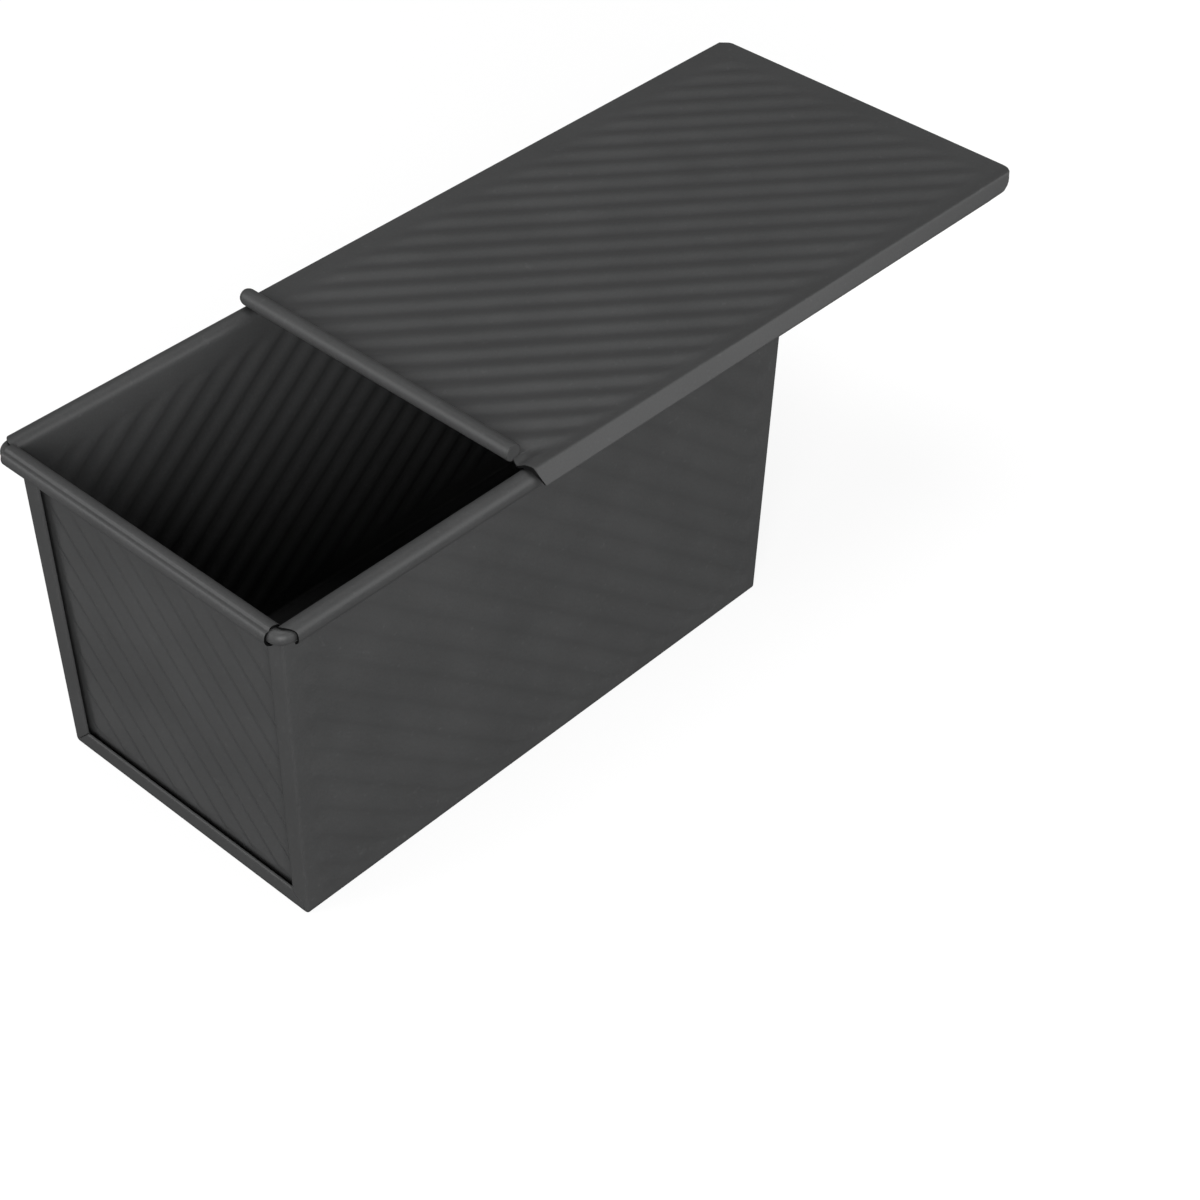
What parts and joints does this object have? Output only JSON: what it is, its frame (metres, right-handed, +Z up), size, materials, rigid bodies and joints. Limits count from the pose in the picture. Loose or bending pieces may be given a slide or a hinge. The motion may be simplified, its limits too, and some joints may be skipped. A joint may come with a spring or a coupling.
{
  "type": "pullman loaf pan",
  "caption": "Deep folded-steel loaf pan with corrugated walls, wired rims and a flat corrugated lid that slides along the side rims to shut over the dough.",
  "frame": {"origin": "middle of the pan's base, on the table plane", "axes": "+X along the pan, the way the lid slides off; +Y across it; +Z up"},
  "size_m": [0.3139, 0.126, 0.1206],
  "materials": {
    "coated_sheet": "charcoal non-stick coating on steel sheet, satin",
    "coated_wire": "charcoal non-stick coating on steel wire, satin",
    "bare_wire": "bare drawn steel wire, hidden inside the lid's bead"
  },
  "bodies": {
    "pan": {"body_wrap": "coated_sheet", "near_end_panel": "coated_sheet", "far_end_panel": "coated_sheet", "rim_wire": "coated_wire"},
    "lid": {"lid_sheet": "coated_sheet", "lid_bead_wire": "bare_wire"}
  },
  "joints": [
    {"name": "lid_slide", "type": "slide", "parent": "pan", "child": "lid", "axis": [1, 0, 0], "range_m": [-0.096, 0.122]}
  ]
}
